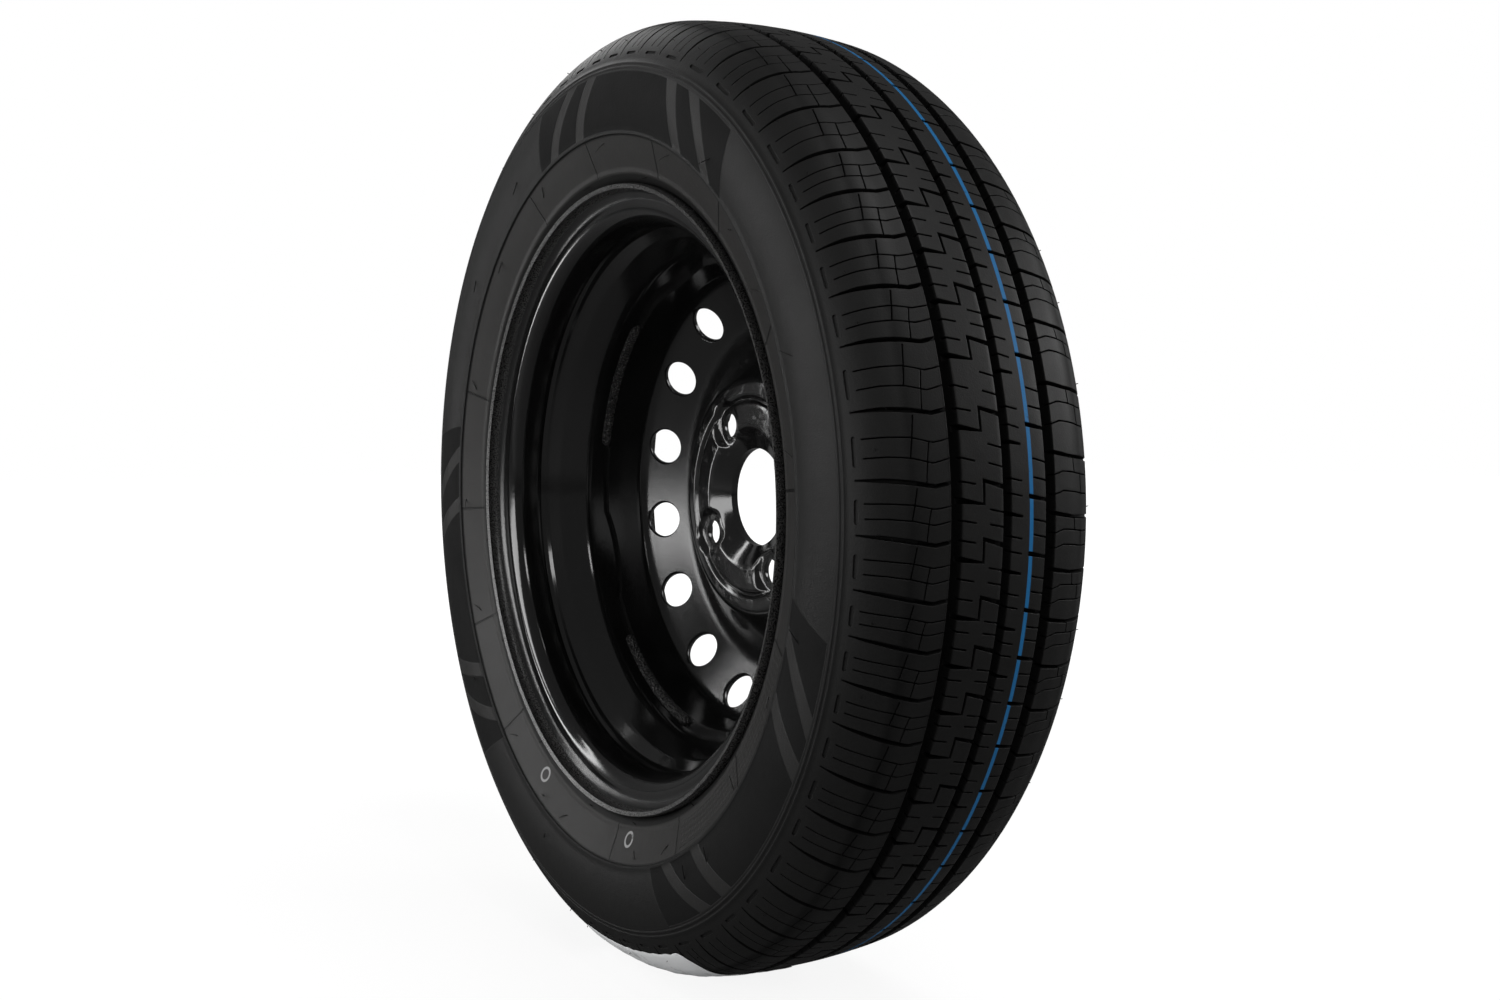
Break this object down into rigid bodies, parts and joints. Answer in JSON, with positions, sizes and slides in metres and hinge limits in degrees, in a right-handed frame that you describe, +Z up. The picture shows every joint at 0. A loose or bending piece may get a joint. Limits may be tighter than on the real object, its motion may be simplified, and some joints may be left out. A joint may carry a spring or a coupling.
{
  "type": "trailer wheel",
  "caption": "Small trailer wheel: tubeless ribbed tyre on a rolled steel rim with a pressed disc, round hand holes, bolt circle, centre bore and snap-in valve.",
  "frame": {"origin": "centre of the wheel, on its axle line and midway between the rim flanges", "axes": "+Y along the axle line towards the outboard side, +Z up"},
  "size_m": [0.5498, 0.1486, 0.5498],
  "materials": {
    "tyre_rubber": "matte",
    "black_paint": "gloss",
    "valve_rubber": "matte",
    "brass": "turned",
    "white_ring": "matte",
    "steel_wire": "drawn",
    "cap_plastic": "matte"
  },
  "bodies": {
    "wheel": {"tyre": "tyre_rubber", "rim": "black_paint", "disc": "black_paint", "weld_beads": "black_paint", "valve_body": "valve_rubber", "valve_stem": "brass", "valve_core_barrel": "brass", "valve_core_ring": "white_ring", "valve_spring": "steel_wire"},
    "valve_pin": {"valve_pin": "steel_wire", "valve_pin_seal": "valve_rubber"},
    "cap_washer": {"valve_cap_washer": "valve_rubber"},
    "valve_cap": {"valve_cap": "cap_plastic"}
  },
  "joints": [
    {"name": "valve_pin_press", "type": "slide", "parent": "wheel", "child": "valve_pin", "axis": [-0.1308, -0.9027, 0.4098], "range_m": [0, 0.0009], "stiffness_N_per_m": 1500, "springref_m": -0.0012, "deforming": ["valve_spring"]},
    {"name": "valve_cap_travel", "type": "slide", "parent": "wheel", "child": "cap_washer", "axis": [0.1308, 0.9027, -0.4098], "range_m": [0, 0.00556]},
    {"name": "valve_cap_turn", "type": "hinge", "parent": "cap_washer", "child": "valve_cap", "pos_m": [-0.04704, 0.02942, 0.14741], "axis": [0.1308, 0.9027, -0.4098], "range_deg": [0, 2520]}
  ],
  "couplings": [
    {"joint": "valve_cap_turn", "follows": "valve_cap_travel", "rad_per_m": 7913.3}
  ]
}
